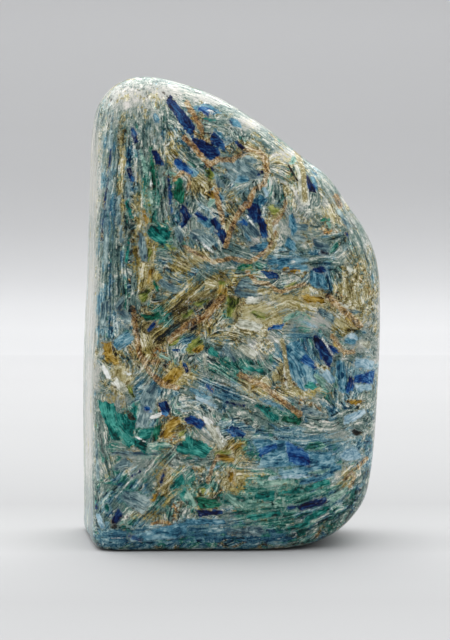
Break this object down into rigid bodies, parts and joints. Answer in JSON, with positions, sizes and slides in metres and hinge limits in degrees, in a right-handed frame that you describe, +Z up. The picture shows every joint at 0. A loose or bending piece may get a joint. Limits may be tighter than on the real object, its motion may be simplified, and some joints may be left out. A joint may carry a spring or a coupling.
{
  "type": "polished kyanite freeform",
  "caption": "Free-standing polished slab of blue, grey and green bladed kyanite with a flat cut base, an upright side, a domed corner and a long curved shoulder.",
  "frame": {"origin": "middle of the stone's bounding box, on the plane of the flat cut base", "axes": "+Z up along the stone's height, +Y from the front face to the back face through the stone's thickness, +X to the right as seen from the front"},
  "size_m": [0.0938, 0.0508, 0.1443],
  "materials": {
    "kyanite": "polished"
  },
  "bodies": {
    "root": {"kyanite_stone": "kyanite"}
  },
  "joints": []
}
